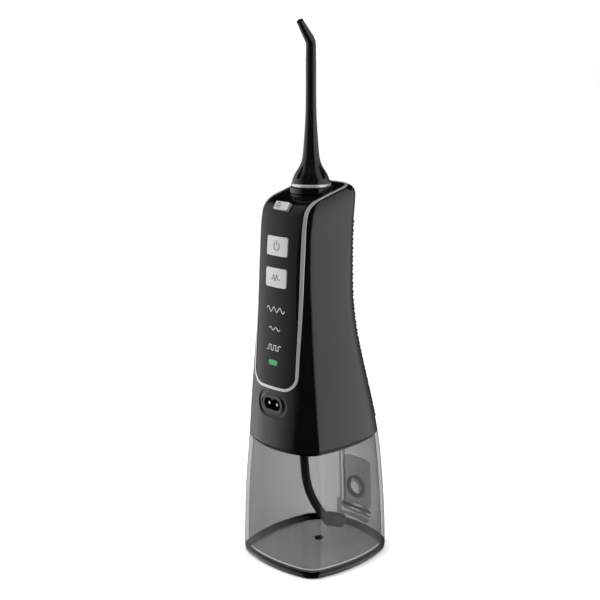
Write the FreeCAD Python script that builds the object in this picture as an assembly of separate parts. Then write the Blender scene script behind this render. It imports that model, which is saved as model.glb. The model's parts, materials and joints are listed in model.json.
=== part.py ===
import FreeCAD, Part
import math
import os

from FreeCAD import Rotation, Vector

# Cordless water flosser, millimetres.
# +Z up, front panel towards -Y, +X to the right for a viewer who looks along +Y.
# Shapes are laid out about the nozzle's turning axis (x = y = 0). Saving a node moves it by
# -FOOT_CENTRE_Y, which puts the origin at the centre of the footprint on the table.

# ---------------------------------------------------------------- driving dimensions

FOOT_TOP = 3.0
FOOT_WIDTH = 2.6
FLOOR_TOP = 5.0
SEAM_Z = 67.3
RIM_TOP = 69.7
TANK_WALL = 2.0
SHELL_WALL = 2.2

# Plan size of the body: height, half width, depth in front of and behind the nozzle axis.
LEVELS = (
    (3.0, 33.6, 31.7, 40.7),
    (16.0, 33.4, 31.7, 40.4),
    (30.0, 32.9, 31.7, 39.9),
    (48.0, 31.5, 31.6, 39.1),
    (68.0, 29.3, 31.2, 37.4),
    (84.0, 27.4, 30.2, 33.4),
    (100.0, 25.4, 29.2, 29.0),
    (120.0, 23.0, 27.8, 23.7),
    (140.0, 21.0, 26.3, 20.1),
    (158.0, 19.8, 25.4, 19.1),
    (172.0, 19.3, 24.6, 18.8),
)
FOOT_CENTRE_Y = (LEVELS[0][3] - LEVELS[0][2]) / 2
# Plan radii at three heights: front corner, rear corner, front, side and rear bulge.
RADII = (
    (0.0, (11.1, 18.0, 80.0, 80.0, 55.0)),
    (SEAM_Z, (13.0, 20.4, 46.4, 97.0, 43.7)),
    (200.0, (6.4, 8.0, 55.0, 200.0, 90.0)),
)

# Rounded top of the handle, in side view.
TOP_START = (180.5, 186.0, 19.1, 23.9, 18.9)
SHOULDER_Y, SHOULDER_Z, SHOULDER_R = -12.5, 189.0, 10.0
CROWN_Y, CROWN_Z, CROWN_R = 14.5, 201.3, 5.0
TOP_HALF_WIDTH, TOP_SIDE_R = 19.2, 3.0
FRONT_LEAN, REAR_LEAN, ROOF_SLOPE = 8.0, -4.0, 15.0
TOP_STEPS = 6
FULL_HEIGHT = 200.0

# Front panel and its silver frame.
PANEL_HALF, PANEL_BOTTOM, PANEL_REAR = 15.1, 102.3, 13.4
PANEL_CORNER, PANEL_REAR_CORNER = 7.5, 6.0
TRIM_WIDTH, TRIM_PROUD, TRIM_DEEP = 1.5, 0.25, 1.7
ROOF_ONLY_Z = 190.0

# Rear grip, and the posts that take the base screws.
GRIP_HALF, GRIP_BOTTOM, GRIP_TOP = 11.0, 86.0, 188.0
POST_TOP = 78.0
SCREW_PLACES = ((-20.0, -19.0), (20.0, -19.0), (-18.0, 14.0), (18.0, 14.0))

# Controls.
BUTTON_HALF, BUTTON_HEIGHT, BUTTON_CORNER, BUTTON_PROUD = 7.5, 10.0, 1.2, 0.6
POWER_Z, MODE_Z = 176.0, 159.7
BUTTON_GAP = 0.15
LENS_Z, LENS_HALF, LENS_HEIGHT = 114.9, 3.3, 2.8
PORT_Z, PORT_HALF, PORT_HALF_HEIGHT, PORT_DEPTH, PORT_RIM = 92.3, 10.6, 7.0, 3.4, 1.0
RELEASE_ANGLE, RELEASE_FACE_TILT = 42.0, 33.0
RELEASE_WIDTH, RELEASE_HEIGHT, RELEASE_PROUD = 10.0, 4.6, 1.6
LATCH_FRONT = -14.1

# Fill door in the rear of the tank.
DOOR_HALF, DOOR_BOTTOM, DOOR_TOP, DOOR_THICK = 9.8, 15.2, 44.0, 2.0
BAY_HALF, BAY_BOTTOM, BAY_TOP, BAY_DEPTH, BAY_WALL = 10.0, 9.8, 60.0, 2.15, 1.3
SILL_DEPTH = 6.3
HINGE_Y, HINGE_Z, HINGE_R, PIN_R = 37.4, 13.4, 1.6, 0.8
INLET_Z, INLET_R, INLET_WALL_Y = 26.6, 6.8, 40.0

# Nozzle.
NECK_R, NECK_TOP = 10.8, 201.0
DIAL_R, DIAL_TOP = 11.1, 204.6
RING_R, RING_TOP = 10.5, 206.4
SHANK_R, SHANK_BOTTOM = 3.0, 187.0
BORE_R = 0.8
BEND_Z, BEND_R, BEND_ANGLE, TIP_LENGTH = 276.0, 5.0, 38.0, 11.2
FLARE_SCOOPS = 8

# Drive train: motor upright behind, crank gear in front of it, pump lying under the motor.
MOTOR_Y, MOTOR_R, MOTOR_BOTTOM, MOTOR_TOP = 4.0, 12.0, 86.6, 114.6
MODULE, PINION_TEETH, GEAR_TEETH = 0.6, 10, 40
GEAR_Y = MOTOR_Y - MODULE * (PINION_TEETH + GEAR_TEETH) / 2
GEAR_BOTTOM, GEAR_TOP = 81.0, 84.0
CRANK_R, ROD_LENGTH, ROD_BOTTOM, ROD_TOP = 3.4, 20.0, 76.6, 78.6
CRANK_PIN_R = 1.0
WRIST_Y = GEAR_Y + math.sqrt(ROD_LENGTH ** 2 - CRANK_R ** 2)
PUMP_Z, PISTON_R, PUMP_FRONT, PUMP_REAR = 77.6, 2.6, 8.0, 20.0
HEAD_REAR, HEAD_BOTTOM, HEAD_TOP = 24.4, 71.0, 84.0
PLATE_BOTTOM, PLATE_TOP, PLATE_FRONT, PLATE_REAR = 85.0, 86.5, -16.5, 17.0
RUN = 0.05

# Battery and board.
CELL_Y, CELL_R, CELL_BOTTOM, CELL_TOP = 4.5, 9.2, 118.0, 183.0
BOARD_BOTTOM, BOARD_TOP, BOARD_HALF, BOARD_THICK = 108.0, 182.0, 11.5, 1.2
BOARD_Y_BOTTOM, BOARD_Y_TOP = -21.7, -18.0

# Hose: side view points from the barb into the weight.
HOSE_PATH = ((-5.3, 63.0), (-5.2, 55.3), (-4.5, 48.0), (-3.2, 41.0), (-0.5, 33.5), (3.9, 25.6),
             (8.2, 19.5), (12.2, 15.4), (16.4, 13.0))
HOSE_R, HOSE_BORE = 2.4, 1.5
WEIGHT_START, WEIGHT_END, WEIGHT_R = (12.8, 14.4), (25.0, 9.3), 4.1
PLUG_Y = 6.3
BARB_FLANGE_TOP, SPOUT_TOP = 70.9, 74.2

FAR = 80.0


# ---------------------------------------------------------------- small helpers

def save(node, *solids):
    shape = solids[0].copy() if len(solids) == 1 else Part.makeCompound(list(solids))
    shape.translate(Vector(0, -FOOT_CENTRE_Y, 0))
    shape.exportStep(os.path.join("parts", node + ".step"))


def block(x0, x1, y0, y1, z0, z1):
    return Part.makeBox(x1 - x0, y1 - y0, z1 - z0, Vector(x0, y0, z0))


def cylinder(radius, start, end):
    start, end = Vector(*start), Vector(*end)
    return Part.makeCylinder(radius, (end - start).Length, start, end - start)


def tube(outer, inner, start, end):
    return cylinder(outer, start, end).cut(cylinder(inner, start, end))


def between(low, high, t):
    return low + (high - low) * t


def rounded_outline(half, low, high, radius, place):
    """Rounded rectangle, -half..half by low..high; place(a, b) puts a plan point in space."""
    diagonal = radius * (1 - math.sqrt(0.5))
    edges = []
    corners = ((1, 1), (-1, 1), (-1, -1), (1, -1))
    starts = []
    for sa, sb in corners:
        edge_b = high if sb > 0 else low
        on_side = (sa * half, edge_b - sb * radius)
        on_end = (sa * (half - radius), edge_b)
        middle = (sa * (half - diagonal), edge_b - sb * diagonal)
        first, last = (on_side, on_end) if sa == sb else (on_end, on_side)
        edges.append(Part.Arc(place(*first), place(*middle), place(*last)).toShape())
        starts.append((place(*first), place(*last)))
    for k in range(4):
        edges.append(Part.makeLine(starts[k][1], starts[(k + 1) % 4][0]))
    return Part.Wire(Part.__sortEdges__(edges))


def prism_y(half, z0, z1, radius, y0=-FAR, y1=FAR, x=0.0):
    """Bar along Y with a rounded-rectangle front view."""
    wire = rounded_outline(half, z0, z1, radius, lambda a, b: Vector(x + a, y0, b))
    return Part.Face(wire).extrude(Vector(0, y1 - y0, 0))


def prism_z(half, y0, y1, radius, z0, z1):
    """Bar along Z with a rounded-rectangle plan."""
    wire = rounded_outline(half, y0, y1, radius, lambda a, b: Vector(a, b, z0))
    return Part.Face(wire).extrude(Vector(0, 0, z1 - z0))


def swept(points, radius):
    """Round bar of one radius along a smooth path."""
    curve = Part.BSplineCurve()
    curve.interpolate([Vector(*p) for p in points])
    path = Part.Wire(curve.toShape())
    start = curve.value(curve.FirstParameter)
    tangent = curve.tangent(curve.FirstParameter)[0]
    profile = Part.Wire(Part.makeCircle(radius, start, tangent))
    return path.makePipeShell([profile], True, False)


def helix_spring(coil_r, wire_r, length, turns, base, direction):
    path = Part.Wire(Part.makeHelix(length / turns, length, coil_r).Edges)
    profile = Part.Wire(Part.makeCircle(wire_r, Vector(coil_r, 0, 0), Vector(0, 1, 0)))
    spring = path.makePipeShell([profile], True, True)
    turn = Rotation(Vector(0, 0, 1), Vector(*direction))
    spring.Placement = FreeCAD.Placement(Vector(*base), turn)
    return spring


# ---------------------------------------------------------------- body surface

def corner_arc(big_a, radius_a, big_b, radius_b, radius, side):
    """Small arc tangent inside two large ones: its two ends and its middle, in the plan."""
    reach_a, reach_b = radius_a - radius, radius_b - radius
    dx, dy = big_b[0] - big_a[0], big_b[1] - big_a[1]
    gap = math.hypot(dx, dy)
    along = (reach_a ** 2 - reach_b ** 2 + gap ** 2) / (2 * gap)
    across = math.sqrt(max(reach_a ** 2 - along ** 2, 0.0))
    px, py = big_a[0] + along * dx / gap, big_a[1] + along * dy / gap
    options = [(px - across * dy / gap, py + across * dx / gap),
               (px + across * dy / gap, py - across * dx / gap)]
    centre = max(options, key=lambda p: p[0] + side * p[1])

    def touch(big, reach):
        grow = (reach + radius) / reach
        return (big[0] + (centre[0] - big[0]) * grow, big[1] + (centre[1] - big[1]) * grow)

    end_a, end_b = touch(big_a, reach_a), touch(big_b, reach_b)
    mx, my = (end_a[0] + end_b[0]) / 2 - centre[0], (end_a[1] + end_b[1]) / 2 - centre[1]
    scale = radius / math.hypot(mx, my)
    return end_a, (centre[0] + mx * scale, centre[1] + my * scale), end_b


def section_wire(half_width, front, rear, radii, place):
    """Closed outline of eight tangent arcs with bulged sides."""
    corner_f, corner_r, bulge_f, bulge_s, bulge_r = radii
    front_hub = (0.0, bulge_f - front)
    rear_hub = (0.0, rear - bulge_r)
    side_hub = (half_width - bulge_s, (rear - front) / 2)
    f0, f1, f2 = corner_arc(front_hub, bulge_f, side_hub, bulge_s, corner_f, -1)
    r0, r1, r2 = corner_arc(rear_hub, bulge_r, side_hub, bulge_s, corner_r, 1)
    right = [(f0, f1, f2), (f2, (half_width, side_hub[1]), r2), (r2, r1, r0)]
    left = [tuple((-x, y) for x, y in reversed(arc)) for arc in reversed(right)]
    front_bulge = ((-f0[0], f0[1]), (0.0, -front), f0)
    rear_bulge = (r0, (0.0, rear), (-r0[0], r0[1]))
    arcs = [front_bulge] + right + [rear_bulge] + left
    return Part.Wire([Part.Arc(*[place(*p) for p in arc]).toShape() for arc in arcs])


def radii_at(z, inset):
    z = min(z, FULL_HEIGHT)
    for (low_z, low), (high_z, high) in zip(RADII, RADII[1:]):
        if z <= high_z:
            t = (z - low_z) / (high_z - low_z)
            return [max(between(a, b, t) - inset, 0.8) for a, b in zip(low, high)]


def tilted_section(z_front, z_rear, half_width, front, rear, inset):
    """Outline in the plane through a front point and a rear point of the side view."""
    tilt = math.atan2(z_rear - z_front, front + rear)
    z_axis = z_front + front * math.tan(tilt)

    def place(x, d):
        return Vector(x, d * math.cos(tilt), z_axis + d * math.sin(tilt))

    radii = radii_at(z_axis, inset)
    return section_wire(half_width, front / math.cos(tilt), rear / math.cos(tilt), radii, place)


def top_sections(inset):
    z_front, z_rear, half, front, rear = TOP_START
    wires = [tilted_section(z_front, z_rear, half - inset, front - inset, rear - inset, inset)]
    shoulder, crown, side = SHOULDER_R - inset, CROWN_R - inset, TOP_SIDE_R - inset
    for k in range(TOP_STEPS + 1):
        t = k / TOP_STEPS
        a = math.radians(between(FRONT_LEAN, 90 - ROOF_SLOPE, t))
        b = math.radians(between(REAR_LEAN, 90 + ROOF_SLOPE, t))
        y_front, z_front = SHOULDER_Y - shoulder * math.cos(a), SHOULDER_Z + shoulder * math.sin(a)
        y_rear, z_rear = CROWN_Y + crown * math.cos(b), CROWN_Z + crown * math.sin(b)
        half = TOP_HALF_WIDTH - TOP_SIDE_R + side * math.cos(math.radians(90 * t))
        wires.append(tilted_section(z_front, z_rear, half, -y_front, y_rear, inset))
    return wires


def level_wires(inset, lowest, highest):
    wires = []
    for z, half, front, rear in LEVELS:
        if lowest <= z <= highest:
            place = lambda x, y, z=z: Vector(x, y, z)
            wires.append(section_wire(half - inset, front - inset, rear - inset,
                                      radii_at(z, inset), place))
    return wires


def envelope(inset):
    """Whole body from the foot to the roof, moved inwards by inset."""
    return Part.makeLoft(level_wires(inset, FOOT_TOP, FULL_HEIGHT) + top_sections(inset), True)


def tank_envelope(inset):
    """Lower body only, up past the seam."""
    return Part.makeLoft(level_wires(inset, FOOT_TOP, 100.0), True)


def front_depth(z):
    """Depth of the body in front of the nozzle axis at a height, straight between levels."""
    for low, high in zip(LEVELS, LEVELS[1:]):
        if z <= high[0]:
            return between(low[2], high[2], (z - low[0]) / (high[0] - low[0]))


OUTER = envelope(0.0)
INNER = envelope(SHELL_WALL)
HANDLE_SPACE = block(-FAR, FAR, -FAR, FAR, RIM_TOP, 240.0)
TANK_SPACE = block(-FAR, FAR, -FAR, FAR, FOOT_TOP, RIM_TOP)


# ---------------------------------------------------------------- tank and its door

def bay_box(half, bottom, top):
    return block(-half, half, 10.0, FAR, bottom, top)


def make_tank():
    hollow = tank_envelope(TANK_WALL).common(block(-FAR, FAR, -FAR, FAR, FLOOR_TOP, RIM_TOP + 1))
    wall_half = BAY_HALF + BAY_WALL
    backing = bay_box(wall_half, BAY_BOTTOM - BAY_WALL, BAY_TOP + BAY_WALL)
    hollow = hollow.cut(backing.cut(tank_envelope(BAY_DEPTH + BAY_WALL)))
    sill = bay_box(wall_half, BAY_BOTTOM - BAY_WALL, HINGE_Z + 4.0)
    hollow = hollow.cut(sill.cut(tank_envelope(SILL_DEPTH)))
    shell = OUTER.common(TANK_SPACE).cut(hollow)
    bay = tank_envelope(-1.0).cut(tank_envelope(BAY_DEPTH))
    bay = bay.common(bay_box(BAY_HALF, BAY_BOTTOM, BAY_TOP))
    hinge_room = cylinder(HINGE_R + 0.5, (-BAY_HALF, HINGE_Y, HINGE_Z), (BAY_HALF, HINGE_Y, HINGE_Z))
    hinge_mouth = block(-BAY_HALF, BAY_HALF, HINGE_Y, FAR, BAY_BOTTOM, HINGE_Z + 2.1)
    tank = shell.cut(bay.fuse(hinge_room).fuse(hinge_mouth))
    tank = tank.cut(cylinder(INLET_R, (0, 20, INLET_Z), (0, FAR, INLET_Z)))
    pin_end = BAY_HALF + 1.0
    tank = tank.cut(cylinder(PIN_R, (-pin_end, HINGE_Y, HINGE_Z), (pin_end, HINGE_Y, HINGE_Z)))
    tank = tank.cut(cylinder(2.0, (0, PLUG_Y, 0), (0, PLUG_Y, FLOOR_TOP - 0.8)))
    save("tank", tank)
    pin = cylinder(PIN_R, (-pin_end, HINGE_Y, HINGE_Z), (pin_end, HINGE_Y, HINGE_Z))
    save("door_hinge_pin", pin)


def make_foot():
    z, half, front, rear = LEVELS[0]
    wires = []
    for height, inset in ((0.0, 1.4), (1.0, 0.4), (FOOT_TOP, 0.0)):
        place = lambda x, y, height=height: Vector(x, y, height)
        wires.append(section_wire(half - inset, front - inset, rear - inset,
                                  radii_at(z, inset), place))
    foot = Part.makeLoft(wires, True, True)
    place = lambda x, y: Vector(x, y, 0.0)
    opening = Part.Face(section_wire(half - FOOT_WIDTH, front - FOOT_WIDTH, rear - FOOT_WIDTH,
                                     radii_at(z, FOOT_WIDTH), place))
    save("foot_ring", foot.cut(opening.extrude(Vector(0, 0, FOOT_TOP))))
    plug = cylinder(1.9, (0, PLUG_Y, 1.4), (0, PLUG_Y, FLOOR_TOP - 0.9))
    save("floor_plug", plug)


def make_door():
    plate = tank_envelope(0.0).cut(tank_envelope(DOOR_THICK))
    plate = plate.common(prism_y(DOOR_HALF, DOOR_BOTTOM, DOOR_TOP, 2.5, 10.0, FAR))
    web = tank_envelope(0.6).cut(tank_envelope(DOOR_THICK))
    bored = plate
    for side in (-1, 1):
        x0, x1 = sorted((side * 4.5, side * 8.5))
        arm = web.common(block(x0, x1, 10.0, FAR, HINGE_Z, DOOR_BOTTOM + 1.5))
        barrel = cylinder(HINGE_R, (x0, HINGE_Y, HINGE_Z), (x1, HINGE_Y, HINGE_Z))
        bored = bored.fuse(arm.fuse(barrel))
    inner, outer = INLET_WALL_Y - 4.9, INLET_WALL_Y - 1.3
    plug = tube(INLET_R - 0.9, INLET_R - 3.0, (0, inner, INLET_Z), (0, outer, INLET_Z))
    plug = plug.cut(tank_envelope(-2.0).cut(tank_envelope(DOOR_THICK)))
    seal_ends = (0, inner + 1.1, INLET_Z), (0, inner + 2.3, INLET_Z)
    groove = tube(INLET_R, INLET_R - 2.4, *seal_ends)
    bored = bored.fuse(plug.cut(groove))
    door_bore = cylinder(PIN_R + RUN, (-10, HINGE_Y, HINGE_Z), (10, HINGE_Y, HINGE_Z))
    save("fill_door", bored.cut(door_bore).removeSplitter())
    save("door_seal", tube(INLET_R - 0.1, INLET_R - 2.4, *seal_ends))


# ---------------------------------------------------------------- handle shell

def panel_region(grow):
    """Space of the front panel: its front view run back, met by its plan run down."""
    front = prism_y(PANEL_HALF + grow, PANEL_BOTTOM - grow, 260.0, PANEL_CORNER + grow)
    plan = prism_z(PANEL_HALF + grow, -FAR, PANEL_REAR + grow, PANEL_REAR_CORNER + grow, 60, 260)
    rear_wall = block(-FAR, FAR, 0, FAR, 0, ROOF_ONLY_Z)
    return front.common(plan).cut(rear_wall)


def release_frame():
    """Centre of the release button on the shoulder, and its outward direction."""
    a = math.radians(RELEASE_ANGLE)
    centre = Vector(0, SHOULDER_Y - SHOULDER_R * math.cos(a), SHOULDER_Z + SHOULDER_R * math.sin(a))
    tilt = math.radians(RELEASE_FACE_TILT)
    return centre, Vector(0, -math.cos(tilt), math.sin(tilt))


def release_block(grow, out, deep):
    """Rounded bar along the release button's travel, from deep below to out above the skin."""
    centre, outward = release_frame()
    up = outward.cross(Vector(1, 0, 0)) * -1
    half = RELEASE_WIDTH / 2 + grow
    high = RELEASE_HEIGHT / 2 + grow
    start = centre - outward * deep

    def place(a, b):
        return start + Vector(a, 0, 0) + up * b

    wire = rounded_outline(half, -high, high, 0.8 + grow, place)
    return Part.Face(wire).extrude(outward * (out + deep))


def make_panel():
    window = panel_region(TRIM_WIDTH)
    panel = OUTER.cut(INNER).common(panel_region(0.0))
    neck = cylinder(NECK_R, (0, 0, 196.0), (0, 0, NECK_TOP)).cut(INNER)
    panel = panel.fuse(neck)
    panel = panel.cut(cylinder(DIAL_R + 0.3, (0, 0, NECK_TOP), (0, 0, 220)))
    panel = panel.cut(cylinder(5.6, (0, 0, 190), (0, 0, 220)))
    for z in (POWER_Z, MODE_Z):
        panel = panel.cut(button_prism(z, BUTTON_GAP))
    panel = panel.cut(lens_prism(0.0))
    panel = panel.cut(release_block(0.15, 8.0, 8.0))
    save("front_panel", panel)

    band = window.cut(panel_region(0.0))
    trim = envelope(-TRIM_PROUD).cut(envelope(TRIM_DEEP)).common(band)
    dial_room = cylinder(DIAL_R + 0.3, (0, 0, NECK_TOP), (0, 0, 220))
    save("trim_frame", trim.cut(dial_room))
    return window


def button_prism(z, grow):
    half = BUTTON_HALF + grow
    low, high = z - BUTTON_HEIGHT / 2 - grow, z + BUTTON_HEIGHT / 2 + grow
    return prism_y(half, low, high, BUTTON_CORNER + grow, -FAR, 0.0)


def lens_prism(grow):
    half, high = LENS_HALF + grow, LENS_HEIGHT / 2 + grow
    return prism_y(half, LENS_Z - high, LENS_Z + high, 1.2 + grow, -FAR, 0.0)


def port_prism(grow, y0=-FAR, y1=0.0):
    half, high = PORT_HALF + grow, PORT_HALF_HEIGHT + grow
    return prism_y(half, PORT_Z - high, PORT_Z + high, high - 0.2, y0, y1)


def make_housing(window):
    housing = OUTER.cut(INNER).common(HANDLE_SPACE).cut(window)
    back = -front_depth(PORT_Z) + PORT_DEPTH
    pocket = port_prism(PORT_RIM, -FAR, back + 1.8).common(OUTER).common(HANDLE_SPACE)
    housing = housing.fuse(pocket.cut(port_prism(0.0, -FAR, back)))
    housing = housing.cut(port_prism(0.0, -FAR, back))
    housing = housing.cut(prism_y(7.6, PORT_Z - 5.4, PORT_Z + 5.4, 5.2, -FAR, 0.0))
    for x, y in SCREW_PLACES:
        x0, x1 = sorted((x, math.copysign(FAR, x)))
        rib = block(x0, x1, y - 0.9, y + 0.9, RIM_TOP, POST_TOP)
        post = cylinder(2.6, (x, y, RIM_TOP), (x, y, POST_TOP)).fuse(rib).common(OUTER)
        housing = housing.fuse(post).cut(cylinder(1.1, (x, y, SEAM_Z), (x, y, POST_TOP - 2.0)))
    grip_room = grip_outline().common(envelope(-1.0).cut(envelope(0.7)))
    save("housing", housing.cut(grip_room))


def grip_outline():
    return prism_y(GRIP_HALF, GRIP_BOTTOM, GRIP_TOP, 8.0, 0.0, FAR)


def make_grip():
    grip = envelope(-0.1).cut(envelope(0.7)).common(grip_outline())
    save("rear_grip", grip)


def make_base():
    stem_bottom = SEAM_Z - 2.6
    base = tank_envelope(TANK_WALL + 0.3).common(block(-FAR, FAR, -FAR, FAR, SEAM_Z, RIM_TOP))
    groove_space = block(-FAR, FAR, -FAR, FAR, SEAM_Z + 0.6, SEAM_Z + 1.8)
    groove = tank_envelope(0.0).cut(tank_envelope(3.4)).common(groove_space)
    seal = tank_envelope(TANK_WALL + 0.1).cut(tank_envelope(3.4)).common(groove_space)
    base = base.cut(groove)
    barb_y = HOSE_PATH[0][0]
    base = base.cut(cylinder(3.0, (0, barb_y, 60), (0, barb_y, RIM_TOP)))
    screws = []
    head_top = SEAM_Z + 0.4
    for x, y in SCREW_PLACES:
        base = base.cut(cylinder(1.4, (x, y, 60), (x, y, RIM_TOP)))
        base = base.cut(cylinder(2.6, (x, y, 60), (x, y, head_top)))
        head = cylinder(2.3, (x, y, head_top - 1.0), (x, y, head_top))
        screws.append(head.fuse(cylinder(1.1, (x, y, head_top), (x, y, POST_TOP - 3.0))))
    save("base_plate", base)
    save("tank_seal", seal)
    save("base_screws", *screws)

    flange = cylinder(4.4, (0, barb_y, RIM_TOP), (0, barb_y, BARB_FLANGE_TOP))
    stem = cylinder(2.95, (0, barb_y, stem_bottom), (0, barb_y, RIM_TOP))
    tail = cylinder(HOSE_BORE - RUN, (0, barb_y, stem_bottom - 6.0), (0, barb_y, stem_bottom))
    spout = cylinder(1.6, (0, barb_y, BARB_FLANGE_TOP), (0, barb_y, SPOUT_TOP))
    barb = flange.fuse(stem).fuse(tail).fuse(spout)
    barb = barb.cut(cylinder(0.8, (0, barb_y, 50), (0, barb_y, SPOUT_TOP)))
    save("hose_barb", barb)


# ---------------------------------------------------------------- controls

def make_button(node, z):
    face = envelope(-BUTTON_PROUD).cut(envelope(1.6))
    cap = face.common(button_prism(z, 0.0))
    rim = envelope(SHELL_WALL + 0.8).cut(envelope(SHELL_WALL + 1.5)).common(button_prism(z, 1.2))
    stem = envelope(1.2).cut(envelope(SHELL_WALL + 2.0))
    stem = stem.common(prism_y(2.5, z - 2.5, z + 2.5, 0.5, -FAR, 0.0))
    skirt = envelope(1.2).cut(envelope(SHELL_WALL + 1.2)).common(button_prism(z, 0.0))
    skirt = skirt.cut(button_prism(z, -1.0))
    save(node, cap.fuse([rim, stem, skirt]).removeSplitter())


def make_charging_port():
    back = -front_depth(PORT_Z) + PORT_DEPTH
    front = back - 2.6
    boss = prism_y(7.5, PORT_Z - 5.3, PORT_Z + 5.3, 5.1, front, back + 6.0)
    flange = prism_y(9.6, PORT_Z - 6.8, PORT_Z + 6.8, 6.0, back + 1.9, back + 6.0)
    lobe = 3.1
    hole = prism_y(2.9 + lobe, PORT_Z - lobe, PORT_Z + lobe, lobe - 0.05, front - 1, back + 3.4)
    notch = block(-0.7, 0.7, front - 1, back + 3.4, PORT_Z + lobe - 0.8, PORT_Z + lobe)
    body = boss.fuse(flange).cut(hole.cut(notch))
    pins = []
    for x in (-2.9, 2.9):
        body = body.cut(cylinder(0.8, (x, back + 3.0, PORT_Z), (x, back + 7.0, PORT_Z)))
        pins.append(cylinder(0.8, (x, front + 0.8, PORT_Z), (x, back + 7.0, PORT_Z)))
    save("charging_socket", body)
    save("socket_pins", *pins)


def make_lens():
    lens = OUTER.cut(INNER).common(lens_prism(0.0))
    save("battery_lens", lens)


def make_release():
    button = release_block(0.0, RELEASE_PROUD, 2.4)
    centre, outward = release_frame()
    start = centre - outward * 2.4
    stem = Part.makeCylinder(1.3, 3.4, start, outward * -1)
    save("release_button", button.fuse(stem))


def board_y(z):
    return between(BOARD_Y_BOTTOM, BOARD_Y_TOP, (z - BOARD_BOTTOM) / (BOARD_TOP - BOARD_BOTTOM))


def leaning_slab(half, z0, z1, gap, thick):
    """Slab parallel to the circuit board, gap in front of its front face (negative: behind)."""
    points = []
    for z, depth in ((z0, -gap), (z1, -gap), (z1, thick - gap), (z0, thick - gap)):
        points.append(Vector(-half, board_y(z) + depth, z))
    return Part.Face(Part.makePolygon(points + points[:1])).extrude(Vector(2 * half, 0, 0))


def make_board():
    board = leaning_slab(BOARD_HALF, BOARD_BOTTOM, BOARD_TOP, 0.0, BOARD_THICK)
    screws = []
    for x, z in ((-9.0, 148.0), (9.0, 148.0), (-9.0, 124.0), (9.0, 124.0)):
        y = board_y(z)
        board = board.cut(cylinder(1.0, (x, y - 3, z), (x, y + 4, z)))
        head = cylinder(1.7, (x, y - 1.1, z), (x, y - 0.15, z))
        screws.append(head.fuse(cylinder(0.9, (x, y - 0.15, z), (x, y + 5.0, z))))
    save("circuit_board", board)
    save("board_screws", *screws)
    switches, leds = [], []
    for z in (POWER_Z, MODE_Z):
        body = leaning_slab(2.2, z - 2.2, z + 2.2, 0.9, 0.9)
        switches.append(body)
    for z in (142.0, 132.0, 122.0, LENS_Z):
        leds.append(leaning_slab(0.8, z - 0.6, z + 0.6, 0.7, 0.7))
    save("tact_switches", *switches)
    save("status_leds", *leds)


# ---------------------------------------------------------------- battery and motor

def make_battery():
    cell = cylinder(CELL_R, (0, CELL_Y, CELL_BOTTOM), (0, CELL_Y, CELL_TOP))
    cell = cell.fuse(cylinder(2.8, (0, CELL_Y, CELL_TOP), (0, CELL_Y, CELL_TOP + 0.9)))
    save("battery_cell", cell)
    low, high = CELL_BOTTOM - 2.0, 178.0
    holder = cylinder(CELL_R + 1.5, (0, CELL_Y, low), (0, CELL_Y, high))
    holder = holder.common(block(-9.6, 9.6, -10, CELL_Y, low, high))
    spine = block(-9.6, 9.6, -8.0, -5.5, low, high)
    holder = holder.fuse(spine).cut(cylinder(CELL_R, (0, CELL_Y, CELL_BOTTOM), (0, CELL_Y, 190)))
    for x, z in ((-9.0, 148.0), (9.0, 148.0), (-9.0, 124.0), (9.0, 124.0)):
        y0, y1 = board_y(z) + BOARD_THICK + 0.2, -6.0
        post = cylinder(1.9, (x, y0, z), (x, y1, z)).cut(cylinder(0.9, (x, y0 - 1, z), (x, y0 + 4, z)))
        holder = holder.fuse(post)
    save("battery_holder", holder)
    leads = []
    for x in (-6.0, 6.0):
        path = [(x, board_y(112.0) + BOARD_THICK + 0.7, 112.0), (x, -17.0, 115.5),
                (x, -9.5, 114.9), (x * 0.9, -3.0, MOTOR_TOP - 0.9)]
        leads.append(swept(path, 0.6))
    save("power_leads", *leads)


def make_motor():
    case = cylinder(MOTOR_R, (0, MOTOR_Y, MOTOR_BOTTOM), (0, MOTOR_Y, MOTOR_TOP - 1.6))
    case = case.makeFillet(1.2, case.Edges)
    case = case.cut(cylinder(1.05, (0, MOTOR_Y, 80), (0, MOTOR_Y, 120)))
    rotor_room = cylinder(7.6, (0, MOTOR_Y, 90), (0, MOTOR_Y, 110))
    save("motor_case", case.cut(rotor_room))
    shaft = cylinder(1.0, (0, MOTOR_Y, 80.6), (0, MOTOR_Y, MOTOR_TOP - 1.0))
    rotor = shaft.fuse(cylinder(7.0, (0, MOTOR_Y, 92), (0, MOTOR_Y, 108)))
    save("motor_rotor", rotor)


def gear_solid(teeth, z0, z1, y, phase, bore):
    """Spur gear with straight-sided teeth, thinned for backlash."""
    pitch_r = MODULE * teeth / 2
    tip_r, root_r = pitch_r + 0.85 * MODULE, pitch_r - 1.2 * MODULE
    step = 2 * math.pi / teeth
    points = []
    for k in range(teeth):
        centre = phase + k * step
        for radius, share in ((root_r, -0.34), (tip_r, -0.11), (tip_r, 0.11), (root_r, 0.34)):
            a = centre + share * step
            points.append(Vector(radius * math.cos(a), y + radius * math.sin(a), z0))
    blank = Part.Face(Part.makePolygon(points + points[:1])).extrude(Vector(0, 0, z1 - z0))
    return blank.cut(cylinder(bore, (0, y, z0 - 1), (0, y, z1 + 1)))


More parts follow.
